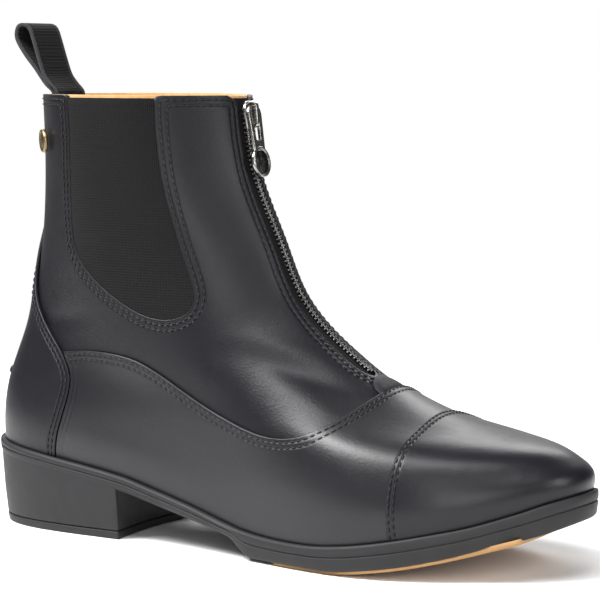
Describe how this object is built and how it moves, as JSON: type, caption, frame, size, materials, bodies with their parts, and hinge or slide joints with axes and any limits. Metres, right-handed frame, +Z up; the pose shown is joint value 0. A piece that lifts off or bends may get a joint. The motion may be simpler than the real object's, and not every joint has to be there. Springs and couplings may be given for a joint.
{
  "type": "ankle boot",
  "caption": "Right riding ankle boot with a front zip, elastic side panels, toe cap, heel counter, back pull loop and a low heel.",
  "frame": {"origin": "on the floor under the middle of the boot's box", "axes": "+X towards the toe, +Y towards the wearer's inner side, +Z up"},
  "size_m": [0.2844, 0.1002, 0.2233],
  "materials": {
    "leather": "smooth black, fine grain, soft sheen",
    "toe_leather": "smooth black, a little glossier",
    "elastic": "matte ribbed elastic",
    "webbing": "matte woven",
    "zip_metal": "antique silver",
    "stud_metal": "antique brass",
    "sole_rubber": "matte black",
    "tread_rubber": "matte tan",
    "insole_leather": "tan suede"
  },
  "bodies": {
    "boot": {"upper": "leather", "vamp": "leather", "counter": "leather", "toe_cap": "toe_leather", "spur_rest": "leather", "gusset_outer": "elastic", "gusset_inner": "elastic", "zip_tape": "webbing", "zip_chain": "zip_metal", "zip_slider": "zip_metal", "pull_loop": "webbing", "stud": "stud_metal", "outsole": "sole_rubber", "heel_top_piece": "sole_rubber", "tread_insert": "tread_rubber", "insole": "insole_leather"},
    "pull_tab": {"zip_pull": "zip_metal"}
  },
  "joints": [
    {"name": "pull_hinge", "type": "hinge", "parent": "boot", "child": "pull_tab", "pos_m": [-0.01393, -0.00124, 0.18681], "axis": [0, -1, 0], "range_deg": [0, 150]}
  ]
}
